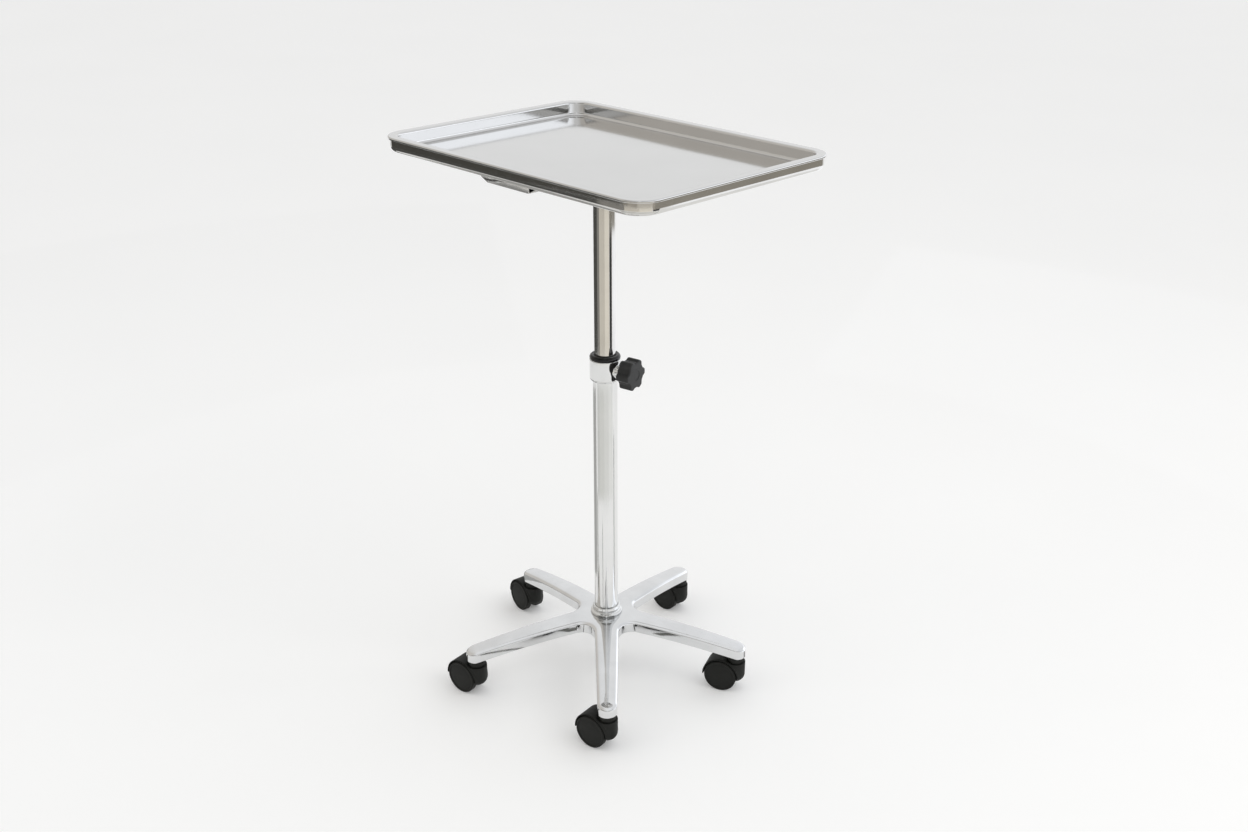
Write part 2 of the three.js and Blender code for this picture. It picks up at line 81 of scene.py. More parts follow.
ARM_CROWN = 1.5             # how far the arms' tops fall towards their edges
KNOB_LOBE = 1.9             # half the depth between two lobes
KNOB_PHASE = 31             # how far round its axis the knob is left, in degrees
KNOB_POINTS = 144           # points round the knob's outline
THREAD_PITCH = 1.25         # of the clamp's stud
FRAME_ROUND = (7.4, 8.5)    # width and height of the round under the frame's outer edge
BRACKET_END_LEAN = 0.62     # how far the bracket's end walls slope in, for each unit down
TRAY_UNEVEN = 0.05          # waviness of the tray's floor


# ---- Mesh building ----

def mesh_object(name, points, faces, matrix=None, normals=None):
    """A smooth-shaded mesh object from points in millimetres, placed by a matrix in millimetres."""
    mesh = bpy.data.meshes.new(name)
    scaled = np.asarray(points, float) * MM
    mesh.from_pydata(scaled.tolist(), [], [list(map(int, f)) for f in faces])
    mesh.polygons.foreach_set("use_smooth", [True] * len(mesh.polygons))
    mesh.update()
    if normals is not None:
        mesh.normals_split_custom_set_from_vertices(np.asarray(normals).tolist())
    thing = bpy.data.objects.new(name, mesh)
    bpy.context.scene.collection.objects.link(thing)
    place(thing, matrix)
    return thing


def place(thing, matrix):
    """Sets an object's matrix from one in millimetres."""
    if matrix is None:
        return
    placed = matrix.copy()
    placed.translation = matrix.translation * MM
    thing.matrix_world = placed


def turn(degrees, axis="Z"):
    return Matrix.Rotation(math.radians(degrees), 4, axis)


def shift(x, y, z):
    return Matrix.Translation((x, y, z))


def finish_piece(thing, body, nodes, slot):
    """Rides a piece on its body, hides the CAD nodes that it stands for, and gives it its finish."""
    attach(thing, body)
    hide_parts(*nodes)
    thing.data.materials.clear()
    thing.data.materials.append(FINISHES[slot])
    return thing


def filleted(corners, steps=6, closed=False):
    """Rounds a polyline's corners. Each corner is (a, b) or (a, b, radius).

    A point close beside each arc keeps the flats flat.
    """
    count = len(corners)
    out = []
    for i, corner in enumerate(corners):
        here = np.array(corner[:2], float)
        radius = corner[2] if len(corner) > 2 else 0
        if radius <= 0 or (not closed and i in (0, count - 1)):
            out.append(here)
            continue
        back = np.array(corners[i - 1][:2], float) - here
        ahead = np.array(corners[(i + 1) % count][:2], float) - here
        length_back, length_ahead = np.linalg.norm(back), np.linalg.norm(ahead)
        back, ahead = back / length_back, ahead / length_ahead
        half = math.acos(np.clip(back @ ahead, -1, 1)) / 2
        reach = min(radius / math.tan(half), 0.47 * length_back, 0.47 * length_ahead)
        radius = reach * math.tan(half)
        bisector = (back + ahead) / np.linalg.norm(back + ahead)
        centre = here + bisector * radius / math.sin(half)
        first, last = here + back * reach - centre, here + ahead * reach - centre
        sweep = math.acos(np.clip(first @ last / radius**2, -1, 1))
        beside = min(0.12 * radius + 0.05, 0.04 * min(length_back, length_ahead))
        out.append(here + back * (reach + beside))
        for k in range(steps + 1):
            t = k / steps
            a, b = math.sin((1 - t) * sweep) / math.sin(sweep), math.sin(t * sweep) / math.sin(sweep)
            out.append(centre + first * a + last * b)
        out.append(here + ahead * (reach + beside))
    return [tuple(p) for p in out]


def loft(name, rings, closed=False, matrix=None):
    """Quads between rings that have the same number of points; open lofts are closed by flat caps."""
    count = len(rings[0])
    points = np.concatenate([np.asarray(r, float) for r in rings])
    faces = []
    spans = len(rings) if closed else len(rings) - 1
    for k in range(spans):
        low, high = k * count, ((k + 1) % len(rings)) * count
        for i in range(count):
            j = (i + 1) % count
            faces.append((low + i, low + j, high + j, high + i))
    if not closed:
        last = (len(rings) - 1) * count
        faces.append(tuple(range(count - 1, -1, -1)))
        faces.append(tuple(range(last, last + count)))
    return mesh_object(name, points, faces, matrix)


def circle(radius, z, segments):
    angles = np.arange(segments) * 2 * math.pi / segments
    return np.stack([radius * np.cos(angles), radius * np.sin(angles), np.full(segments, z)], 1)


def turned(name, corners, segments, closed=False, matrix=None):
    """A profile of (radius, height, fillet) turned about Z. It runs from the bottom outwards and up."""
    profile = [p for p in filleted(corners, closed=closed) if p[0] > 1e-6]
    return loft(name, [circle(r, z, segments) for r, z in profile], closed, matrix=matrix)


# ---- Solids from distance fields ----

def soft_min(a, b, k):
    h = np.clip(0.5 + 0.5 * (b - a) / k, 0, 1)
    return b * (1 - h) + a * h - k * h * (1 - h)


def soft_max(a, b, k):
    return -soft_min(-a, -b, k)


def post(radial, axial, radius, half, edge):
    """Distance to a round post with rounded edges, from the distances off its axis and its middle."""
    q, w = radial - radius + edge, np.abs(axial) - half + edge
    outside = np.hypot(np.maximum(q, 0), np.maximum(w, 0))
    return outside + np.minimum(np.maximum(q, w), 0) - edge


def cell_points(values, index, active):
    """Mean of the places where the surface crosses each active cell's edges."""
    total = np.zeros((*index.shape, 3))
    crossings = np.zeros(index.shape)
    n = index.shape
    corner = lambda o: values[o[0]:n[0] + o[0], o[1]:n[1] + o[1], o[2]:n[2] + o[2]]
    for axis in range(3):
        for u in (0, 1):
            for v in (0, 1):
                start = [0, 0, 0]
                start[(axis + 1) % 3], start[(axis + 2) % 3] = u, v
                end = list(start)
                end[axis] = 1
                a, b = corner(start), corner(end)
                crossed = ((a < 0) != (b < 0)) & active
                t = np.where(crossed, a / np.where(crossed, a - b, 1), 0)
                for d in range(3):
                    total[..., d] += crossed * (start[d] + (t if d == axis else 0))
                crossings += crossed
    where = np.argwhere(active)
    return where + total[active] / crossings[active][:, None]


def skinned(name, field, low, high, step):
    """The zero surface of a distance field, as quads pulled onto it, with the field's own normals."""
    axes = [np.arange(a - 1.5 * step, b + 2.5 * step, step) for a, b in zip(low, high)]
    values = field(*np.meshgrid(*axes, indexing="ij"))
    inside = values < 0
    around = sum(
        inside[i:inside.shape[0] - 1 + i, j:inside.shape[1] - 1 + j, k:inside.shape[2] - 1 + k].astype(int)
        for i in (0, 1) for j in (0, 1) for k in (0, 1)
    )
    active = (around > 0) & (around < 8)
    index = np.full(active.shape, -1)
    index[active] = np.arange(active.sum())
    origin = np.array([a[0] for a in axes])
    points = origin + cell_points(values, index, active) * step
    faces = []
    for axis in range(3):
        order = (axis, (axis + 1) % 3, (axis + 2) % 3)
        solid, cells = inside.transpose(order), index.transpose(order)
        a, b = solid[:-1, 1:-1, 1:-1], solid[1:, 1:-1, 1:-1]
        i, j, k = np.nonzero(a != b)
        quads = np.stack([cells[i, j, k], cells[i, j + 1, k], cells[i, j + 1, k + 1], cells[i, j, k + 1]], 1)
        flip = ~a[i, j, k]
        quads[flip] = quads[flip][:, ::-1]
        faces.append(quads)
    gradient = lambda p, h: np.stack([
        (field(*(p + h * e).T) - field(*(p - h * e).T)) / (2 * h) for e in np.eye(3)
    ], 1)
    for _ in range(4):
        g = gradient(points, 0.02)
        pull = field(*points.T)[:, None] * g / np.maximum((g * g).sum(1), 0.2)[:, None]
        points = points - np.clip(pull, -0.3 * step, 0.3 * step)
    normals = gradient(points, 0.08)
    normals /= np.maximum(np.linalg.norm(normals, axis=1), 1e-9)[:, None]
    return mesh_object(name, points, np.concatenate(faces), normals=normals)


# ---- Finishes ----

def nodes_of(material):
    material.use_nodes = True
    tree = material.node_tree
    return tree, tree.nodes["Principled BSDF"]


def noise(tree, coordinates, scale, detail, stretch=(1, 1, 1), heading=0):
    """Noise over object coordinates, drawn out along an axis by a small number there, then turned."""
    mapping = tree.nodes.new("ShaderNodeMapping")
    mapping.vector_type = "TEXTURE"
    mapping.inputs["Scale"].default_value = tuple(1 / s for s in stretch)
    mapping.inputs["Rotation"].default_value = (0, 0, math.radians(heading))
    tree.links.new(coordinates, mapping.inputs["Vector"])
    texture = tree.nodes.new("ShaderNodeTexNoise")
    texture.inputs["Scale"].default_value = scale
    texture.inputs["Detail"].default_value = detail
    texture.inputs["Roughness"].default_value = 0.55
    tree.links.new(mapping.outputs["Vector"], texture.inputs["Vector"])
    return texture.outputs["Fac"]


def ranged(tree, value, low, high, start=0.3, end=0.7):
    """Carries the range from start to end over to the range from low to high, and stops there."""
    node = tree.nodes.new("ShaderNodeMapRange")
    node.inputs["From Min"].default_value, node.inputs["From Max"].default_value = start, end
    node.inputs["To Min"].default_value, node.inputs["To Max"].default_value = low, high
    tree.links.new(value, node.inputs["Value"])
    return node.outputs["Result"]


def tinted(tree, value, dark, light):
    """A colour that goes from dark to light over the middle of a value's range."""
    node = tree.nodes.new("ShaderNodeValToRGB")
    node.color_ramp.elements[0].position, node.color_ramp.elements[1].position = 0.3, 0.7
    node.color_ramp.elements[0].color = (*dark, 1)
    node.color_ramp.elements[1].color = (*light, 1)
    tree.links.new(value, node.inputs["Fac"])
    return node.outputs["Color"]


def bumped(tree, value, distance, strength, below=None):
    """A normal bent by a height, over another bent normal where there is one."""
    node = tree.nodes.new("ShaderNodeBump")
    node.inputs["Distance"].default_value = distance
    node.inputs["Strength"].default_value = strength
    tree.links.new(value, node.inputs["Height"])
    if below is not None:
        tree.links.new(below, node.inputs["Normal"])
    return node.outputs["Normal"]


def finish(slot, dark, light, rough, metallic=1.0, broad=14, fine=900, stretch=(1, 1, 1),
           wave=(0.0006, 0.03), grain=(0.00002, 0.05), heading=0, specular=0.5):
    """A procedural finish: broad tone and roughness changes, a slow unevenness and a fine grain."""
    material = bpy.data.materials.new(slot)
    tree, shader = nodes_of(material)
    coordinates = tree.nodes.new("ShaderNodeTexCoord").outputs["Object"]
    slow = noise(tree, coordinates, broad, 3)
    small = noise(tree, coordinates, fine, 3, stretch, heading=heading)
    streaks = noise(tree, coordinates, broad * 9, 5, stretch, heading=heading)
    tree.links.new(tinted(tree, slow, dark, light), shader.inputs["Base Color"])
    tree.links.new(ranged(tree, streaks, rough[0], rough[1]), shader.inputs["Roughness"])
    even = bumped(tree, slow, wave[0], wave[1])
    tree.links.new(bumped(tree, small, grain[0], grain[1], even), shader.inputs["Normal"])
    shader.inputs["Metallic"].default_value = metallic
    shader.inputs["Specular IOR Level"].default_value = specular
    return material


BRUSHED_LONG = (0.04, 1, 1)
FINISHES = {
    "satin_tray": finish("satin_tray", (0.65, 0.648, 0.64), (0.67, 0.667, 0.66), (0.085, 0.11),
                         stretch=BRUSHED_LONG, heading=TRAY_ANGLE, wave=(0.0004, 0.02),
                         grain=(0.00002, 0.04)),
    "satin_steel": finish("satin_steel", (0.58, 0.57, 0.55), (0.68, 0.67, 0.65), (0.2, 0.3),
                          stretch=BRUSHED_LONG, heading=TRAY_ANGLE, grain=(0.00003, 0.12)),
    "polished_steel": finish("polished_steel", (0.62, 0.61, 0.59), (0.70, 0.69, 0.67), (0.05, 0.11),
                             stretch=(1, 1, 0.05)),
    "chrome_tube": finish("chrome_tube", (0.78, 0.785, 0.78), (0.84, 0.84, 0.835), (0.07, 0.13),
                          stretch=(1, 1, 0.05)),
    "chrome_trim": finish("chrome_trim", (0.72, 0.725, 0.72), (0.79, 0.79, 0.785), (0.03, 0.07)),
    "polished_aluminium": finish("polished_aluminium", (0.70, 0.705, 0.71), (0.77, 0.775, 0.78),
                                 (0.05, 0.12), broad=22, wave=(0.0009, 0.05)),
    "zinc_steel": finish("zinc_steel", (0.42, 0.43, 0.44), (0.55, 0.56, 0.57), (0.3, 0.45)),
    "black_nylon": finish("black_nylon", (0.008, 0.0085, 0.0072), (0.012, 0.0125, 0.0105), (0.5, 0.6),
                          metallic=0, broad=60, fine=1600, grain=(0.00006, 0.35), specular=0.22),
    "wheel_tread": finish("wheel_tread", (0.0085, 0.009, 0.0075), (0.0125, 0.013, 0.011), (0.5, 0.62),
                          metallic=0, broad=60, fine=1600, grain=(0.00006, 0.3), specular=0.22),
    "black_bush": finish("black_bush", (0.003, 0.0032, 0.003), (0.005, 0.005, 0.005), (0.12, 0.2),
                         metallic=0, broad=90, fine=1500, specular=0.35),
    "grey_knob": finish("grey_knob", (0.020, 0.021, 0.021), (0.027, 0.027, 0.027), (0.4, 0.5),
                        metallic=0, broad=80, fine=1800, grain=(0.00006, 0.3), specular=0.3),
    "white_nylon": finish("white_nylon", (0.66, 0.64, 0.58), (0.74, 0.72, 0.66), (0.4, 0.5), metallic=0),
}


# ---- Star base ----

def arm_top(r):
    beyond = np.maximum(r - HUB_FLAT_R, 0)
    return HUB_TOP - 0.085 * beyond - 0.00036 * beyond * beyond


def arm_underside(r):
    return np.maximum(arm_top(r) - ARM_DEPTH, ARM_TIP_BOTTOM)


def arc_points(centre, radius, start, end, steps):
    angles = np.linspace(start, end, steps + 1)
    return centre + radius * np.stack([np.cos(angles), np.sin(angles)], 1)


def side_normal(start, end, radii, side):
    across = end - start
    return math.atan2(across[1], across[0]) + side * math.acos(radii / np.linalg.norm(across))


def star_outline(tip_at, tip_r, fillet_r, side_steps=20):
    """Plan of the star as points: rounded tips, straight sides and round fillets, arm after arm."""
    step = 2 * math.pi / ARMS
    at = lambda radius, angle: radius * np.array([math.cos(angle), math.sin(angle)])
    points = []
    for arm in range(ARMS):
        angle = -math.pi / 2 + arm * step
        tip, next_tip = at(tip_at, angle), at(tip_at, angle + step)
        before, after = at(ARM_FILLET_AT, angle - step / 2), at(ARM_FILLET_AT, angle + step / 2)
        right = side_normal(tip, before, tip_r + fillet_r, 1)
        left = side_normal(tip, after, tip_r + fillet_r, -1)
        next_right = side_normal(next_tip, after, tip_r + fillet_r, 1)
        right, left = right % (2 * math.pi), left % (2 * math.pi)
        left += 2 * math.pi * (left < right)
        round_tip = arc_points(tip, tip_r, right, left, 24)
        start, end = left + math.pi, next_right + math.pi
        end -= 2 * math.pi * round((end - start) / (2 * math.pi))
        end -= 2 * math.pi * (end > start)
        fillet = arc_points(after, fillet_r, start, end, 18)
        next_start = next_tip + tip_r * np.array([math.cos(next_right), math.sin(next_right)])
        along = np.linspace(0, 1, side_steps + 1)[1:-1, None]
        points += [round_tip, round_tip[-1] + along * (fillet[0] - round_tip[-1])]
        points += [fillet, fillet[-1] + along * (next_start - fillet[-1])]
    return np.concatenate(points)


def crowned_top(points, inset):
    """Height of the star's top: it falls along the arms and, gently, towards their edges."""
    r = np.linalg.norm(points, axis=1)
    half_width = ARM_TIP_R + 3.7 * np.clip((ARM_TIP_AT - r) / 145, 0, 1)
    share = np.clip(inset / half_width, 0, 1)
    return arm_top(r) - ARM_CROWN * (1 - share) ** 2


def inside_loop(points, loop):
    """Whether each point is inside a closed loop, both in plan."""
    x, y = points[:, 0], points[:, 1]
    found = np.zeros(len(points), bool)
    for a, b in zip(loop, np.roll(loop, -1, axis=0)):
        spans = (a[1] > y) != (b[1] > y)
        if spans.any():
            crossing = a[0] + (y - a[1]) * (b[0] - a[0]) / (b[1] - a[1] if b[1] != a[1] else 1)
            found ^= spans & (x < crossing)
    return found


class Builder:
    """Collects points and faces for one closed mesh."""

    def __init__(self):
        self.points, self.faces = [], []

    def ring(self, points):
        start = len(self.points)
        self.points += [tuple(p) for p in points]
        return list(range(start, start + len(points)))

    def join(self, low, high):
        for i in range(len(low)):
            j = (i + 1) % len(low)
            self.faces.append((low[i], low[j], high[j], high[i]))

    def fill(self, outer, holes, inner_points, height, flip=False):
        """Triangles between an outer ring and hole rings, through inner points set at a height."""
        loops = [outer, *holes]
        extra = self.ring([(x, y, height(np.array([[x, y]]))[0]) for x, y in inner_points])
        used = [i for loop in loops for i in loop] + extra
        plan = [Vector(self.points[i][:2]) for i in used]
        edges, start = [], 0
        for loop in loops:
            count = len(loop)
            edges += [(start + i, start + (i + 1) % count) for i in range(count)]
            start += count
        made = delaunay_2d_cdt(plan, edges, [], 0, 1e-7)
        back = [used[o[0]] if o else None for o in made[3]]
        corners = np.array([[made[0][i][:2] for i in f] for f in made[2]])
        centres = corners.mean(1)
        flat = lambda loop: np.array([self.points[i][:2] for i in loop])
        keep = inside_loop(centres, flat(outer))
        for hole in holes:
            keep &= ~inside_loop(centres, flat(hole))
        for face, kept in zip(made[2], keep):
            if kept:
                found = tuple(back[i] for i in face)
                self.faces.append(found[::-1] if flip else found)


def with_height(plan, height):
    return np.column_stack([plan, height])


def plan_radius(plan):
    return np.linalg.norm(plan, axis=1)


def join_all(make, rings):
    """Joins each ring to the next."""
    for low, high in zip(rings, rings[1:]):
        make.join(low, high)


def star_rings(make, outline):
    """Rings from the underside's edge up the rounded sides and in over the arms' tops."""
    rings = []
    for inset, rise in ((1.3, 0), (0.9, 0.05), (0.35, 0.3), (0.05, 0.9), (0, 1.3)):
        plan = outline(inset)
        rings.append(make.ring(with_height(plan, arm_underside(plan_radius(plan)) + rise)))
    bevel = ((0, 3.3), (0.04, 2.9), (0.2, 2.4), (0.5, 2.02), (0.85, 1.8), (1.0, 1.72),
             (2.6, 0.6), (2.9, 0.42), (3.25, 0.28), (3.7, 0.2), (4.2, 0.15), (4.6, 0.12))
    for inset, drop in bevel:
        plan = outline(inset)
        rings.append(make.ring(with_height(plan, crowned_top(plan, inset) - drop)))
    for inset in (6, 8, 10, 12):
        plan = outline(inset)
        settle = 0.12 * (12 - inset) / 7.4
        rings.append(make.ring(with_height(plan, crowned_top(plan, inset) - settle)))
    join_all(make, rings)
    return rings


def hub_boss(make, seat_top):
    """The mast's seat, the bolt's hole and the boss under the hub, as far as the hollow's roof."""
    bolt_hole = 5.6
    seat_z, boss_z = OUTER_TUBE_FOOT - GAP, HUB_TOP - ARM_DEPTH
    steps = ((OUTER_TUBE_R + GAP, seat_z), (bolt_hole, seat_z), (bolt_hole, boss_z), (24.4, boss_z),
             (24.8, boss_z), (25.6, boss_z + 0.35), (HUB_BOSS_R, boss_z + 1.2), (HUB_BOSS_R, boss_z + 1.6),
             (HUB_BOSS_R, HUB_TOP - HOLLOW_ROOF))
    rings = [seat_top] + [make.ring(circle(r, z, 64)) for r, z in steps]
    join_all(make, rings)
    return rings[-1]


def stem_sockets(make):
    """A blind hole for a castor's stem in each tip; gives the rings round their mouths."""
    mouths = []
    for arm in range(ARMS):
        angle = -math.pi / 2 + arm * 2 * math.pi / ARMS
        offset = np.array([SWIVEL_RADIUS * math.cos(angle), SWIVEL_RADIUS * math.sin(angle), 0])
        foot = make.ring(circle(STEM_R + GAP, ARM_TIP_BOTTOM, 24) + offset)
        roof = make.ring(circle(STEM_R + GAP, STEM_TOP + GAP, 24) + offset)
        make.join(foot, roof)
        make.faces.append(tuple(reversed(roof)))
        mouths.append(foot)
    return mouths


def star_base():
    """The five-arm casting: crowned on top and hollow underneath."""
    make = Builder()
    outline = lambda inset: star_outline(ARM_TIP_AT, ARM_TIP_R - inset, ARM_FILLET_R + inset)
    rings = star_rings(make, outline)
    seat_top = make.ring(circle(OUTER_TUBE_R + GAP, HUB_TOP, 64))
    make.fill(rings[-1], [seat_top], hub_points(outline(14)), lambda p: arm_top(plan_radius(p)))
    boss = hub_boss(make, seat_top)
    hollow = star_outline(HOLLOW_END, HOLLOW_HALF, ARM_FILLET_R + 3.2)
    roof_height = lambda p: arm_top(plan_radius(p)) - HOLLOW_ROOF
    roof_line = make.ring(with_height(hollow, roof_height(hollow)))
    make.fill(roof_line, [boss], hub_points(hollow, 30), roof_height, flip=True)
    hollow_foot = make.ring(with_height(hollow, arm_underside(plan_radius(hollow))))
    make.join(roof_line, hollow_foot)
    make.fill(rings[0], [hollow_foot, *stem_sockets(make)], [], lambda p: p[:, 0], flip=True)
    return mesh_object("star_casting", make.points, make.faces)


def hub_points(loop, keep_off=22):
    """Points spread over the hub and along the arms, well inside a loop and clear of the mast."""
    grid = np.stack(np.meshgrid(np.arange(-200, 201, 5.0), np.arange(-220, 221, 5.0)), -1).reshape(-1, 2)
    grid[:, 0] += 0.01 * grid[:, 1]
    found = grid[inside_loop(grid, loop)]
    return found[np.linalg.norm(found, axis=1) > keep_off]


# ---- Castors ----

def hood_field(x, y, z):
    off_axle = np.hypot(x - TRAIL, z - WHEEL_R)
    off_swivel = np.hypot(x, y)
    shell = post(off_axle, y, HOOD_R, HOOD_HALF, 1.3)
    shell = soft_max(shell, WHEEL_R - 1.5 - z, 1.2)
    shell = soft_max(shell, soft_min(-x, off_swivel - HOOD_HALF, 1.0), 1.3)
    boss = post(off_swivel, z - 60, BOSS_R, 60 - BOSS_BOTTOM, 12.5)
    boss = soft_max(boss, z - BOSS_TOP, 1.0)
    body = soft_min(shell, boss, 3.0)
    body = soft_min(body, post(off_axle, y, 17, WEB_HALF, 0.8), 1.5)
    well = soft_max(off_axle - HOOD_R + HOOD_WALL, WEB_HALF - np.abs(y), 1.5)
    body = soft_max(body, -well, 0.7)
    neck_room = soft_max(off_swivel - NECK_R - 0.6, BOSS_TOP - z, 0.5)
    body = soft_max(body, -neck_room, 0.8)
    bore = np.maximum(off_swivel - STEM_R - GAP, 30.2 - z)
    body = np.maximum(body, -bore)
    return np.maximum(body, -(off_axle - AXLE_R - GAP))


def wheel_shape():
    """One wheel, made along Z with its face up."""
    bore_end = AXLE_HALF + GAP
    return loft("wheel_shape", [circle(r, z, 80) for r, z in filleted((
        (1.0, bore_end), (3.3, bore_end, 0.2), (3.3, WHEEL_INNER, 0.3), (9, WHEEL_INNER, 0.4),
        (9.6, WHEEL_INNER + 1.4, 0.6), (20.4, WHEEL_INNER + 1.4, 0.8), (21.2, WHEEL_INNER, 0.5),
        (WHEEL_R, WHEEL_INNER, 1.2), (WHEEL_R, WHEEL_FACE - 0.7, 1.7), (23.2, WHEEL_FACE, 0.7),
        (22.2, WHEEL_FACE - 0.1, 0.35), (21.5, WHEEL_FACE - 0.95, 0.4), (20.6, WHEEL_FACE - 0.95, 0.5),
        (16, WHEEL_FACE - 0.45, 6), (6, WHEEL_FACE - 0.15, 6), (1.5, WHEEL_FACE - 0.12),
    ), 5)])


def castor_pieces():
    along_y = Matrix.Rotation(-math.pi / 2, 4, "X")
    hood_mesh = skinned("hood_shape", hood_field, (-17, -17.5, 14), (50, 17.5, 54), 0.7)
    wheel_mesh = wheel_shape()
    for number in range(1, ARMS + 1):
        arm_angle = -90 + (number - 1) * 360 / ARMS
        swivel = turn(arm_angle) @ shift(SWIVEL_RADIUS, 0, 0) @ turn(TRAIL_ANGLES[number - 1] - arm_angle)
        axle = swivel @ shift(TRAIL, 0, WHEEL_R) @ along_y
        body = f"castor_{number}"
        hood = copy_of(hood_mesh, f"hood_{number}", swivel)
        finish_piece(hood, body, [f"{body}_hood"], "black_nylon")
        for side, flip in (("left", 0), ("right", 180)):
            wheel = copy_of(wheel_mesh, f"wheel_{side}_{number}", axle @ turn(flip, "X"))
            finish_piece(wheel, f"{body}_wheel_{side}", [f"{body}_wheel_{side}"], "wheel_tread")
        low, high = BOSS_TOP + GAP, ARM_TIP_BOTTOM - GAP
        neck = turned(f"neck_{number}", (
            (STEM_R + GAP, low), (12.4, low, 0.4), (12.4, low + 3, 0.5), (NECK_R, low + 3.4, 0.4),
            (NECK_R, high, 0.6), (STEM_R + GAP, high),
        ), 64, closed=True, matrix=swivel)
        finish_piece(neck, "root", [f"{body}_neck"], "black_nylon")
    for thing in (hood_mesh, wheel_mesh):
        bpy.data.objects.remove(thing)


def copy_of(source, name, matrix):
    thing = bpy.data.objects.new(name, source.data)
    bpy.context.scene.collection.objects.link(thing)
    place(thing, matrix)
    return thing


# ---- Mast and clamp ----

def along_clamp():
    """Puts a shape made along Z along the clamp's axis, at its height."""
    return shift(0, 0, CLAMP_HEIGHT) @ turn(CLAMP_ANGLE) @ turn(90, "Y")


def collar_field(x, y, z):
    off_mast = np.hypot(x, y)
    sleeve = post(off_mast, z - COLLAR_BOTTOM - 40, COLLAR_R, 40, 4.2)
    sleeve = soft_max(sleeve, z - COLLAR_TOP, 0.9)
    a = math.radians(CLAMP_ANGLE)
    along = x * math.cos(a) + y * math.sin(a)
    off_clamp = np.hypot(-x * math.sin(a) + y * math.cos(a), z - CLAMP_HEIGHT)
    boss = post(off_clamp, along - 21, 9, 6.2, 0.8)
    body = soft_min(sleeve, boss, 2.2)
    body = soft_max(body, -(off_mast - OUTER_TUBE_R - GAP), 0.4)
    hole = np.maximum(off_clamp - STUD_R - GAP, 10 - along)
    return soft_max(body, -hole, 0.5)


def mast_pieces():
    hidden_ring = 486
    tube_corners = (
        (OUTER_TUBE_BORE, OUTER_TUBE_FOOT, 0.3), (OUTER_TUBE_R, OUTER_TUBE_FOOT, 0.5),
        (OUTER_TUBE_R, hidden_ring), (OUTER_TUBE_R, OUTER_TUBE_TOP, 0.4),
        (OUTER_TUBE_BORE, OUTER_TUBE_TOP, 0.3), (OUTER_TUBE_BORE, hidden_ring),
    )
    outer = turned("mast_tube_lower", tube_corners, 128, closed=True)
    finish_piece(outer, "root", ["outer_tube"], "chrome_tube")
    inner = turned("mast_tube_upper", (
        (INNER_TUBE_BORE, INNER_TUBE_FOOT, 0.3), (INNER_TUBE_R, INNER_TUBE_FOOT, 0.5),
        (INNER_TUBE_R, INNER_TUBE_TOP, 0.4), (INNER_TUBE_BORE, INNER_TUBE_TOP, 0.3),
    ), 128, closed=True)
    finish_piece(inner, "mast", ["inner_tube"], "polished_steel")
    collar = skinned("collar", collar_field, (-22.5, -22.5, 483), (28, 22.5, 516.5), 0.6)
    finish_piece(collar, "root", ["clamp_collar"], "chrome_trim")
    low, sleeve_foot = COLLAR_TOP + GAP, 507
    bush = turned("bush_bead", (
        (15.25, sleeve_foot, 0.1), (16.05, sleeve_foot, 0.1), (16.05, low, 0.1), (21.5, low, 0.8),
        (COLLAR_R, low + 2.2, 1.8), (21.2, low + 4.4, 1.8), (19.2, low + 6.0, 2.0), (16.8, low + 5.9, 0.9),
        (15.25, low + 4.6, 0.5),
    ), 96, closed=True)
    finish_piece(bush, "root", ["guide_bush"], "black_bush")
    ring_low = HUB_TOP + GAP
    bore = OUTER_TUBE_R + GAP
    ring = turned("foot_ring", (
        (bore, ring_low, 0.2), (23.8, ring_low, 0.6), (23.8, ring_low + 3.2, 1.3),
        (20.4, ring_low + 5.0, 1.2), (20.9, ring_low + 9, 3), (20.3, ring_low + 13, 1.6),
        (bore, ring_low + 13, 0.4),
    ), 96, closed=True)
    finish_piece(ring, "root", ["hub_ring"], "chrome_trim")


def knob_ring(inset, height):
    """The knob's lobed outline, moved in by a distance."""
    turns = np.arange(KNOB_POINTS) * 2 * math.pi / KNOB_POINTS
    angles = turns + math.radians(KNOB_PHASE)
    wave = np.cos(KNOB_LOBES * turns)
    radius = KNOB_R + KNOB_LOBE * (wave * (1.75 - 0.75 * wave**2) - 1)
    plan = np.stack([radius * np.cos(angles), radius * np.sin(angles)], 1)
    ahead, back = np.roll(plan, -1, axis=0), np.roll(plan, 1, axis=0)
    tangent = (ahead - back) / np.linalg.norm(ahead - back, axis=1)[:, None]
    inward = np.stack([-tangent[:, 1], tangent[:, 0]], 1)
    return with_height(plan + inward * inset, np.full(KNOB_POINTS, height))


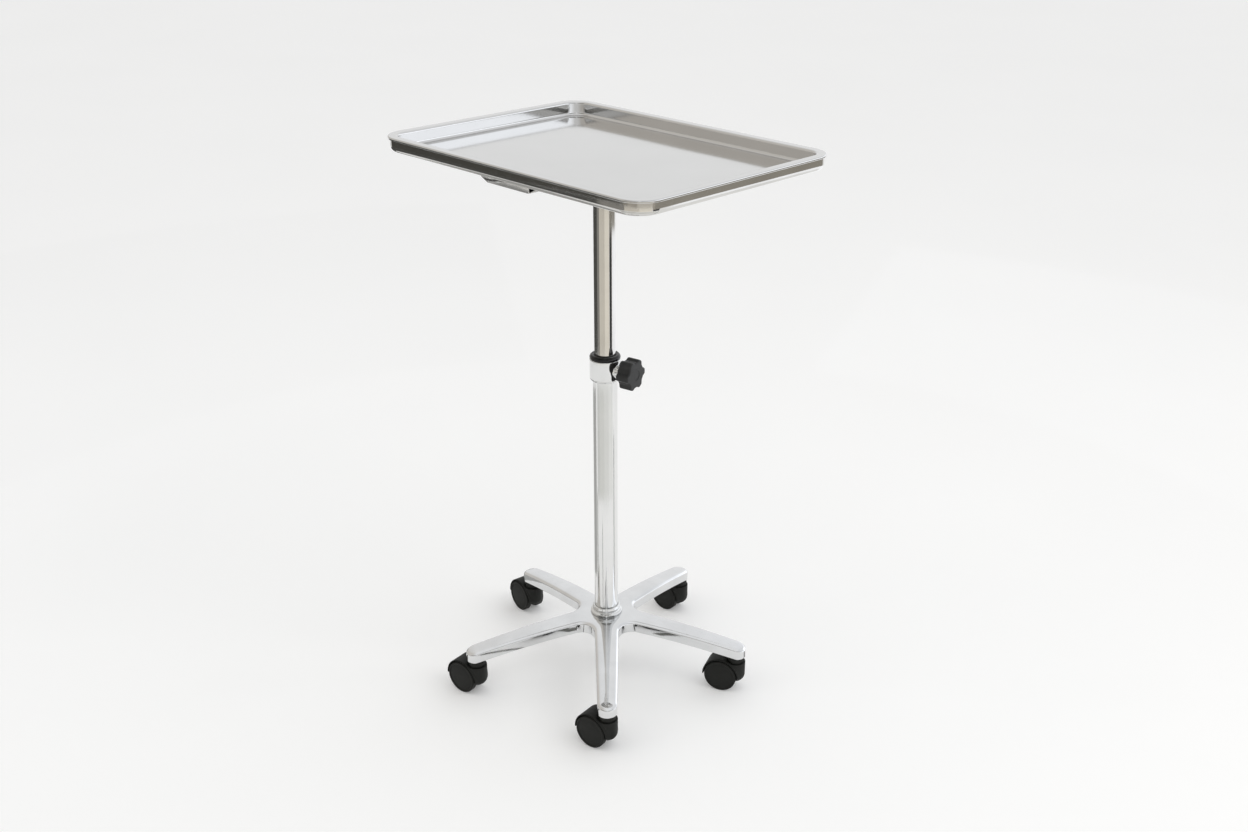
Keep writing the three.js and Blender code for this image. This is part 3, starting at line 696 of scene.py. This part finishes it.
def knob_shape(matrix):
    """The knob: a round hub behind a lobed head, with a shallow recess in its flat face."""
    blend = lambda ring, radius, share: ring * (1 - share) + with_height(
        circle(radius, 0, KNOB_POINTS)[:, :2], ring[:, 2]) * share
    hub = ((4.3, 44.5), (4.3, 27.6), (9.5, 27.6, 0.8), (9.5, KNOB_BACK, 1.2), (13, KNOB_BACK))
    back_round = ((1.8, 0), (1.6, 0.02), (0.9, 0.25), (0.3, 0.85), (0.03, 1.6), (0, 1.9))
    front_round = ((0, 2.2), (0.03, 1.75), (0.25, 1.05), (0.7, 0.5), (1.3, 0.17), (1.9, 0.05), (2.2, 0.02))
    recess = ((8.1, KNOB_FACE), (7.6, KNOB_FACE, 0.2), (7.4, KNOB_FACE - 0.5, 0.2), (6.4, KNOB_FACE - 0.5))
    back, face = knob_ring(1.8, KNOB_BACK), knob_ring(2.2, KNOB_FACE)
    rings = [circle(r, z, KNOB_POINTS) for r, z in filleted(hub, 5)[:-1]]
    rings += [blend(back, 11.2, 0.96), blend(back, 11.2, 0.5)]
    rings += [knob_ring(inset, KNOB_BACK + rise) for inset, rise in back_round]
    rings += [knob_ring(inset, KNOB_FACE - drop) for inset, drop in front_round]
    rings += [blend(face, 8, 0.5), blend(face, 8, 0.97)]
    rings += [circle(r, z, KNOB_POINTS) for r, z in filleted(recess, 4)]
    return loft("knob", rings, matrix=matrix)


def stud_shape(matrix):
    """The threaded stud, which ends inside the knob."""
    thread = []
    z = 19.0
    while z < 43:
        thread += [(STUD_R - 0.45, z), (STUD_R - 0.02, z + 0.5), (STUD_R - 0.02, z + 0.65)]
        z += THREAD_PITCH
    profile = [(3.2, 18.3), (STUD_R - 0.45, 18.8), *thread, (STUD_R - 0.5, 44.0), (3.2, 44.2)]
    return loft("stud", [circle(r, h, 32) for r, h in profile], matrix=matrix)


def clamp_pieces():
    matrix = along_clamp()
    finish_piece(knob_shape(matrix), "clamp_knob", ["clamp_knob"], "grey_knob")
    finish_piece(stud_shape(matrix), "clamp_knob", ["clamp_stud"], "zinc_steel")


# ---- Tray, frame, bracket and head: built along X, then turned ----

def rounded_rectangle(inset, z, corner_steps=14, side_steps=10):
    radius = TRAY_CORNER_R - inset
    points = []
    for corner in range(4):
        sign_x = 1 if corner in (0, 3) else -1
        sign_y = 1 if corner < 2 else -1
        centre = np.array([sign_x * (TRAY_HALF_X - TRAY_CORNER_R), sign_y * (TRAY_HALF_Y - TRAY_CORNER_R)])
        start = corner * math.pi / 2
        points.append(arc_points(centre, radius, start, start + math.pi / 2, corner_steps))
    out = []
    for here, ahead in zip(points, points[1:] + points[:1]):
        along = np.linspace(0, 1, side_steps + 1)[1:-1, None]
        out += [here, here[-1] + along * (ahead[0] - here[-1])]
    plan = np.concatenate(out)
    return with_height(plan, np.full(len(plan), z))


def unevenness(points, size):
    """The slight waviness of pressed sheet, in millimetres, over points in plan."""
    x, y = points[:, 0], points[:, 1]
    return size * (np.sin(x / 41 + 1.3) * np.cos(y / 37 - 0.4) + 0.5 * np.sin(x / 23 - y / 29 + 2))


def tray_shell(matrix):
    under = TRAY_FLOOR - TRAY_SHEET
    outer_wall = WALL_INSET - TRAY_SHEET
    edge_low = RIM_TOP - 3.8
    corners = (
        (WALL_INSET + 12, under), (outer_wall, under, 5.2), (outer_wall, RIM_TOP - TRAY_SHEET, 2.2),
        (2.2, RIM_TOP - TRAY_SHEET, 0.5), (2.2, edge_low, 0.6), (0, edge_low, 1.2), (0, RIM_TOP, 1.7),
        (WALL_INSET, RIM_TOP, 3.2), (WALL_INSET, TRAY_FLOOR, 4.2), (WALL_INSET + 12, TRAY_FLOOR),
    )
    section = filleted(corners, 6)
    rings = [rounded_rectangle(inset, z) for inset, z in section]
    below, above = [], []
    for share in (0.97, 0.9, 0.8, 0.68, 0.55, 0.42, 0.3, 0.18, 0.08, 0.02):
        for inner, edge, z in ((below, rings[0], under), (above, rings[-1], TRAY_FLOOR)):
            ring = edge.copy()
            ring[:, :2] *= share
            ring[:, 2] = z + unevenness(ring, TRAY_UNEVEN) * min(1, 4 * (1 - share))
            inner.append(ring)
    return loft("tray_pressing", below[::-1] + rings + above, matrix=matrix)


def frame_channel(matrix):
    outer, sheet = FRAME_INSET, FRAME_SHEET
    top = RIM_TOP - TRAY_SHEET - GAP
    inner = outer + FRAME_WIDTH
    wide, tall = FRAME_ROUND
    sweep = [math.pi / 2 * k / 12 for k in range(13)]
    under = lambda a, thick: (outer + wide - (wide - thick) * math.sin(a),
                              FRAME_BOTTOM + tall - (tall - thick) * math.cos(a))
    outside = [under(a, 0) for a in sweep]
    inside = [under(a, sheet) for a in reversed(sweep)]
    section = filleted((
        (inner, FRAME_BOTTOM, 0.7), *outside, (outer, top, 0.5), (outer + sheet, top, 0.5),
        *inside, (inner, FRAME_BOTTOM + sheet, 0.7),
    ), 7, closed=True)
    return loft("frame_channel", [rounded_rectangle(i, z) for i, z in section], closed=True, matrix=matrix)


def strip(make, section, start, end):
    """A closed section of (x, z) points run along Y between two places, with flat ends."""
    low = make.ring([(x, start, z) for x, z in section])
    high = make.ring([(x, end, z) for x, z in section])
    make.join(low, high)
    make.faces += [tuple(reversed(low)), tuple(high)]


def bracket_trough(matrix):
    """A folded trough whose ends turn up and outwards, with an open notch at each corner fold."""
    make = Builder()
    top = FRAME_BOTTOM - GAP
    sheet = BRACKET_SHEET
    slope = (BRACKET_TOP_HALF - BRACKET_FLOOR_HALF) / (top - BRACKET_BOTTOM)
    outer = [(-BRACKET_TOP_HALF, top, 0.4), (-BRACKET_FLOOR_HALF, BRACKET_BOTTOM, 2.4),
             (BRACKET_FLOOR_HALF, BRACKET_BOTTOM, 2.4), (BRACKET_TOP_HALF, top, 0.4)]
    in_floor = BRACKET_FLOOR_HALF - sheet * (math.hypot(1, slope) - slope)
    in_top = in_floor + slope * (top - BRACKET_BOTTOM - sheet)
    inner = [(in_top, top, 0.4), (in_floor, BRACKET_BOTTOM + sheet, 1.2),
             (-in_floor, BRACKET_BOTTOM + sheet, 1.2), (-in_top, top, 0.4)]
    section = filleted([*outer, *inner], 5, closed=True)[::-1]
    notch = BRACKET_LENGTH_HALF - 2 * sheet - BRACKET_END_LEAN * (top - BRACKET_BOTTOM)
    strip(make, section, -notch, notch)
    half = BRACKET_FLOOR_HALF - 0.6
    for side in (-1, 1):
        foot = [(-half, BRACKET_BOTTOM), (-half, BRACKET_BOTTOM + sheet), (half, BRACKET_BOTTOM + sheet),
                (half, BRACKET_BOTTOM)]
        strip(make, foot, *sorted((side * notch, side * (notch + 1.8 * sheet))))
        flap = filleted([(-half, BRACKET_BOTTOM, 1.2), (-half - 7, top, 1.2), (half + 7, top, 1.2),
                         (half, BRACKET_BOTTOM, 1.2)], 4, closed=True)
        first = len(make.points)
        ends = sorted((side * (BRACKET_LENGTH_HALF - sheet), side * BRACKET_LENGTH_HALF))
        strip(make, flap, *ends)
        make.points[first:] = [(x, y - side * BRACKET_END_LEAN * (top - z), z)
                               for x, y, z in make.points[first:]]
    return mesh_object("bracket_trough", make.points, make.faces, matrix)


def turned_in_place(thing):
    """Moves an object's turn into its mesh, so that its own box is square to the frame."""
    thing.data.transform(thing.matrix_world)
    thing.matrix_world = Matrix()
    return thing


def head_pieces():
    matrix = turn(TRAY_ANGLE)
    finish_piece(turned_in_place(tray_shell(matrix)), "tray", ["tray"], "satin_tray")
    finish_piece(turned_in_place(frame_channel(matrix)), "mast", ["tray_frame"], "polished_steel")
    finish_piece(turned_in_place(bracket_trough(matrix)), "mast", ["tray_bracket"], "satin_steel")
    top = BRACKET_BOTTOM - GAP
    bore = INNER_TUBE_R + GAP
    head = turned("head_flange", (
        (0, INNER_TUBE_TOP + GAP), (bore, INNER_TUBE_TOP + GAP, 0.3), (bore, HEAD_BOTTOM, 0.4),
        (19.4, HEAD_BOTTOM, 0.9), (19.4, top - 5, 4), (HEAD_R, top - 5, 1.2), (HEAD_R, top, 0.6), (0, top),
    ), 96, matrix=matrix)
    finish_piece(head, "mast", ["mast_head"], "polished_steel")
    seat = BRACKET_BOTTOM + BRACKET_SHEET + GAP
    for number in range(1, SCREWS + 1):
        placed = matrix @ turn(45 + (number - 1) * 360 / SCREWS) @ shift(SCREW_CIRCLE_R, 0, 0)
        screw = cap_screw(f"screw_{number}", seat, placed)
        finish_piece(screw, "mast", [f"bracket_screw_{number}"], "zinc_steel")


def cap_screw(name, seat, matrix):
    """A button-head screw with a hexagon socket."""
    count = 48
    angles = np.arange(count) * 2 * math.pi / count
    across = 1.35 / np.cos((angles + math.pi / 6) % (math.pi / 3) - math.pi / 6)
    hexagon = lambda scale, z: np.stack([scale * across * np.cos(angles), scale * across * np.sin(angles),
                                         np.full(count, z)], 1)
    profile = filleted(((0, seat - 9.8), (SCREW_R, seat - 9.8, 0.5), (SCREW_R, seat), (4.6, seat, 0.3),
                        (4.5, seat + 1.2, 0.8), (3, seat + 2.6, 1.0), (2, seat + 2.7)), 5)
    rings = [circle(r, z, count) for r, z in profile if r > 0]
    rings += [hexagon(1.06, seat + 2.7), hexagon(1, seat + 2.6), hexagon(1, seat + 0.9)]
    return loft(name, rings, matrix=matrix)


# ---- Carried-over CAD nodes ----

def dress_cad_nodes():
    for name, node in frame["nodes"].items():
        slot = "zinc_steel"
        if name in ("clamp_pad", "guide_plug"):
            slot = "white_nylon"
        node.data.materials.clear()
        node.data.materials.append(FINISHES[slot])


# ---- Studio ----

def math_node(tree, operation, *values):
    node = tree.nodes.new("ShaderNodeMath")
    node.operation = operation
    for value, socket in zip(values, node.inputs):
        tree.links.new(value, socket)
    return node.outputs["Value"]


def paper(name, color, glow):
    """Matt paper with a little light of its own, which lifts the shadows."""
    material = bpy.data.materials.new(name)
    tree, shader = nodes_of(material)
    coordinates = tree.nodes.new("ShaderNodeTexCoord").outputs["Object"]
    tone = noise(tree, coordinates, 1.5, 3)
    dark = tuple(0.985 * c for c in color)
    tree.links.new(tinted(tree, tone, dark, color), shader.inputs["Base Color"])
    shader.inputs["Roughness"].default_value = 0.9
    shader.inputs["Specular IOR Level"].default_value = 0.2
    shader.inputs["Emission Color"].default_value = (*color, 1)
    shader.inputs["Emission Strength"].default_value = glow
    return material


def panel(name, corners, material):
    """A flat stage panel."""
    mesh = bpy.data.meshes.new(name)
    mesh.from_pydata(corners, [], [tuple(range(len(corners)))])
    thing = bpy.data.objects.new(name, mesh)
    mesh.materials.append(material)
    bpy.context.scene.collection.objects.link(thing)
    return thing


def reflector(name, corners, color):
    """A card that only mirror reflections see."""
    material = bpy.data.materials.new(name)
    material.use_nodes = True
    tree = material.node_tree
    tree.nodes.clear()
    glow = tree.nodes.new("ShaderNodeEmission")
    glow.inputs["Color"].default_value = (*color, 1)
    output = tree.nodes.new("ShaderNodeOutputMaterial")
    tree.links.new(glow.outputs["Emission"], output.inputs["Surface"])
    card = panel(name, corners, material)
    card.visible_camera = False
    card.visible_diffuse = False
    card.visible_shadow = False
    card.visible_transmission = False
    return card


# Each card is part of a ring on the floor: where it starts and ends, in degrees from +X, its inner and
# outer radius in metres, and its colour.
FAR, FAR_RIGHT = (2.81, 5.5), (2.46, 5.5)
NEAR, NEAR_RIGHT = (1.335, 2.80), (1.335, 2.45)
LOW = (0.6, 1.18)
FLOOR_CARDS = (
    ("card_far_1", 140, 192, FAR, (0.075, 0.073, 0.066)),
    ("card_far_2", 192, 204, FAR, (0.15, 0.146, 0.13)),
    ("card_far_3", 204, 226, FAR, (0.26, 0.245, 0.215)),
    ("card_far_4", 226, 262, FAR, (0.42, 0.39, 0.34)),
    ("card_far_5", 262, 319, FAR, (0.60, 0.57, 0.51)),
    ("card_far_6", 319, 330, FAR_RIGHT, (0.44, 0.41, 0.36)),
    ("card_far_7", 330, 400, FAR_RIGHT, (0.34, 0.32, 0.28)),
    ("card_left", 98, 184, NEAR, (0.09, 0.09, 0.085)),
    ("card_left_soft", 184, 212, NEAR, (0.30, 0.29, 0.27)),
    ("card_front", 212, 270, NEAR, (0.74, 0.70, 0.62)),
    ("card_front_bright", 270, 318, NEAR, (0.95, 0.90, 0.80)),
    ("card_thin_dark", 321, 350, NEAR_RIGHT, (0.06, 0.06, 0.062)),
    ("card_right", 356, 428, NEAR_RIGHT, (1.25, 1.27, 1.32)),
    ("card_low_left", 110, 172, (0.3, 1.15), (0.42, 0.42, 0.41)),
    ("card_streak_1", 180, 187, (0.14, 0.62), (0.16, 0.16, 0.15)),
    ("card_streak_2", 235, 239, (0.14, 0.5), (0.2, 0.2, 0.19)),
    ("card_streak_3", 273, 280, (0.14, 0.24), (0.14, 0.14, 0.13)),
    ("card_low_1", 189, 214, LOW, (0.64, 0.64, 0.62)),
    ("card_low_2", 214, 258, LOW, (0.70, 0.70, 0.67)),
    ("card_low_3", 258, 300, LOW, (0.76, 0.76, 0.735)),
    ("card_low_4", 300, 340, LOW, (0.84, 0.84, 0.82)),
    ("card_streak_4", 350, 357, (0.14, 0.9), (0.25, 0.25, 0.25)),
)


def floor_cards():
    """Bright and dark cards for upright polished faces to mirror."""
    for name, start, end, (near, far), color in FLOOR_CARDS:
        angles = [math.radians(start + (end - start) * k / 12) for k in range(13)]
        inner = [(near * math.cos(a), near * math.sin(a), 0.001) for a in angles]
        outer = [(far * math.cos(a), far * math.sin(a), 0.001) for a in angles]
        reflector(name, inner + outer[::-1], color)


def area_light(name, place_at, target, size, energy, color=(1, 1, 1)):
    """A lamp that mirror reflections do not see."""
    data = bpy.data.lights.new(name, "AREA")
    data.shape = "RECTANGLE"
    data.size, data.size_y = size
    data.energy = energy
    data.color = color
    lamp = bpy.data.objects.new(name, data)
    lamp.location = place_at
    lamp.rotation_mode = "QUATERNION"
    lamp.rotation_quaternion = (Vector(target) - Vector(place_at)).to_track_quat("-Z", "Y")
    bpy.context.scene.collection.objects.link(lamp)
    lamp.visible_glossy = False
    return lamp


def mixed(tree, share, start, end):
    """A colour that goes from a node's colour to a fixed one."""
    node = tree.nodes.new("ShaderNodeMix")
    node.data_type = "RGBA"
    tree.links.new(share, node.inputs["Factor"])
    tree.links.new(start, node.inputs[6])
    node.inputs[7].default_value = (*end, 1)
    return node.outputs[2]


def wall_color(tree, x):
    """The surroundings from -X to +X: warm and dim, then white, then bright and cool."""
    ramp = tree.nodes.new("ShaderNodeValToRGB")
    stops = ((0.0, (0.66, 0.63, 0.585)), (0.2, (0.68, 0.655, 0.62)), (0.42, (0.90, 0.905, 0.91)),
             (0.62, (0.94, 0.945, 0.95)), (0.85, (1.45, 1.49, 1.56)), (1.0, (1.60, 1.65, 1.74)))
    elements = ramp.color_ramp.elements
    while len(elements) < len(stops):
        elements.new(0.5)
    for element, (position, color) in zip(elements, stops):
        element.position = position
        element.color = (*color, 1)
    tree.links.new(ranged(tree, x, 0, 1, -1, 1), ramp.inputs["Fac"])
    return ramp.outputs["Color"]


def shade_share(tree, x, y, z):
    """Where the surroundings are dark: a band on the -Y side, broken in the middle."""
    share = math_node(tree, "MULTIPLY", ranged(tree, y, 1, 0, -0.5, -0.2), ranged(tree, z, 1, 0, 0.62, 0.74))
    share = math_node(tree, "MULTIPLY", share, ranged(tree, z, 0, 1, 0.31, 0.37))
    sideways = math_node(tree, "ABSOLUTE", x)
    return math_node(tree, "MULTIPLY", share, ranged(tree, sideways, 0, 1, 0.04, 0.09))


def world():
    """Surroundings with light and dark parts, in place of which the camera sees a plain backdrop."""
    studio = bpy.data.worlds.new("studio")
    bpy.context.scene.world = studio
    studio.use_nodes = True
    tree = studio.node_tree
    tree.nodes.clear()
    direction = tree.nodes.new("ShaderNodeTexCoord").outputs["Generated"]
    split = tree.nodes.new("ShaderNodeSeparateXYZ")
    tree.links.new(direction, split.inputs["Vector"])
    x, y, z = (split.outputs[axis] for axis in "XYZ")
    overhead = math_node(tree, "MULTIPLY", ranged(tree, x, 0, 1, 0.1, 0.5), ranged(tree, z, 0, 1, 0.30, 0.45))
    color = mixed(tree, overhead, wall_color(tree, x), (0.86, 0.87, 0.89))
    color = mixed(tree, shade_share(tree, x, y, z), color, (0.13, 0.128, 0.12))
    seen = tree.nodes.new("ShaderNodeLightPath").outputs["Is Camera Ray"]
    color = mixed(tree, seen, color, (0.87, 0.87, 0.865))
    background = tree.nodes.new("ShaderNodeBackground")
    tree.links.new(color, background.inputs["Color"])
    background.inputs["Strength"].default_value = 1.0
    output = tree.nodes.new("ShaderNodeOutputWorld")
    tree.links.new(background.outputs["Background"], output.inputs["Surface"])


def studio():
    reach = 30
    corners = [(-reach, -reach, 0), (reach, -reach, 0), (reach, reach, 0), (-reach, reach, 0)]
    panel("floor", corners, paper("floor_paper", (0.88, 0.88, 0.875), 0.17))
    world()
    area_light("key", (2.2, -1.2, 2.6), (0, 0, 0.4), (1.6, 1.6), 18, (1.0, 0.99, 0.97))
    area_light("fill", (-2.4, -0.6, 2.2), (0, 0, 0.4), (1.6, 1.6), 6)
    floor_cards()


CAMERA_AT = (-3.8, -1816.2, 1222.8)
CAMERA_PITCH, CAMERA_PAN, CAMERA_ROLL = 0.4459, 0.0590, 0.0191    # in radians
SENSOR_WIDTH, FOCAL_LENGTH = 36, 39.82125
SHIFT_X, SHIFT_Y = -0.0421474, 0.0366186                          # as shares of the picture's width


def camera():
    """The viewpoint: 1.2 m up and 1.8 m in front of the mast, looking 25.5 degrees down."""
    pitch, pan, roll = CAMERA_PITCH, CAMERA_PAN, CAMERA_ROLL
    forward = Vector((math.sin(pan) * math.cos(pitch), math.cos(pan) * math.cos(pitch), -math.sin(pitch)))
    right = Vector((math.cos(pan), -math.sin(pan), 0))
    up = right.cross(forward)
    rolled_right = math.cos(roll) * right + math.sin(roll) * up
    rolled_up = -math.sin(roll) * right + math.cos(roll) * up
    data = bpy.data.cameras.new("camera")
    data.sensor_width = SENSOR_WIDTH
    data.lens = FOCAL_LENGTH
    data.shift_x, data.shift_y = SHIFT_X, SHIFT_Y
    lens = bpy.data.objects.new("camera", data)
    rows = Matrix((rolled_right, rolled_up, -forward)).transposed().to_4x4()
    rows.translation = Vector(CAMERA_AT) * MM
    lens.matrix_world = rows
    bpy.context.scene.collection.objects.link(lens)
    bpy.context.scene.camera = lens


camera()
studio()
dress_cad_nodes()
finish_piece(star_base(), "root", ["star_base"], "polished_aluminium")
castor_pieces()
mast_pieces()
clamp_pieces()
head_pieces()
bpy.context.scene.view_settings.view_transform = "Standard"
